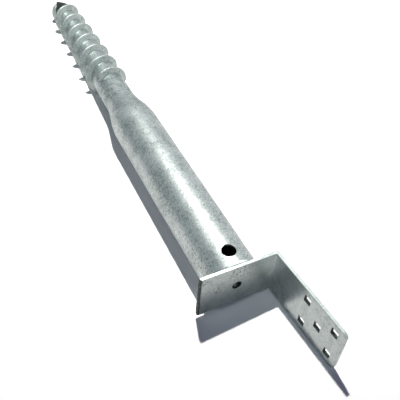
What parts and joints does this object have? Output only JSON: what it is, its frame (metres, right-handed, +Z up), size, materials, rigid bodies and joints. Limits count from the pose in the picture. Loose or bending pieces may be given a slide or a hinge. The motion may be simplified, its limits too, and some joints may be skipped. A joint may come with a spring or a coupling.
{
  "type": "foundation ground screw",
  "caption": "Steel ground screw: a tapered tube with a helical blade, a pressed point and a folded head bracket for a post.",
  "frame": {"origin": "centre of the head plate's outer face, where the screw's axis leaves it", "axes": "+Y along the screw towards its point, +Z up as it lies, flange at +X"},
  "size_m": [0.1244, 0.9581, 0.077],
  "materials": {
    "shaft_zinc": "hot-dip galvanised, cloudy grey",
    "blade_zinc": "hot-dip galvanised, thick and rounded",
    "bracket_zinc": "hot-dip galvanised, mottled grey",
    "weld_zinc": "hot-dip galvanised weld bead"
  },
  "bodies": {
    "root": {"shaft_tube": "shaft_zinc", "helical_blade": "blade_zinc", "head_bracket": "bracket_zinc", "head_weld": "weld_zinc"}
  },
  "joints": []
}
